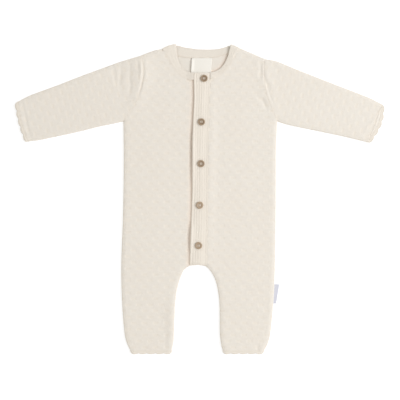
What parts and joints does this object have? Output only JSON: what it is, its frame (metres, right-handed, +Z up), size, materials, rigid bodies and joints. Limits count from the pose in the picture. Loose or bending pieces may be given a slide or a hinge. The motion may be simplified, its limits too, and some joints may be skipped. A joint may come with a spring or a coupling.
{
  "type": "baby romper",
  "caption": "Knitted baby romper laid flat on its back, with long sleeves, long legs, scalloped cuffs and hems, and a ribbed front placket closed by buttons.",
  "frame": {"origin": "middle of the romper's length and span, on the surface that it lies on", "axes": "+X towards the wearer's left sleeve, +Y towards the neck, +Z up from the surface"},
  "size_m": [0.6107, 0.5143, 0.0118],
  "materials": {
    "knit": "matte, fine cotton knit with a staggered small stitch pattern",
    "knit_edging": "matte, scalloped crochet-like cotton edging",
    "knit_rib": "matte, ribbed cotton knit",
    "button": "satin, turned wood with a paler dished middle",
    "label": "soft satin weave"
  },
  "bodies": {
    "root": {"back": "knit", "front_right": "knit", "front_left": "knit", "sleeve_right": "knit", "sleeve_left": "knit", "cuff_edging_right": "knit_edging", "cuff_edging_left": "knit_edging", "hem_edging_right": "knit_edging", "hem_edging_left": "knit_edging", "neckband": "knit_rib", "button_band": "knit_rib", "buttonhole_band": "knit_rib", "button_1": "button", "button_2": "button", "button_3": "button", "button_4": "button", "button_5": "button", "neck_label": "label", "side_tag": "label"}
  },
  "joints": []
}
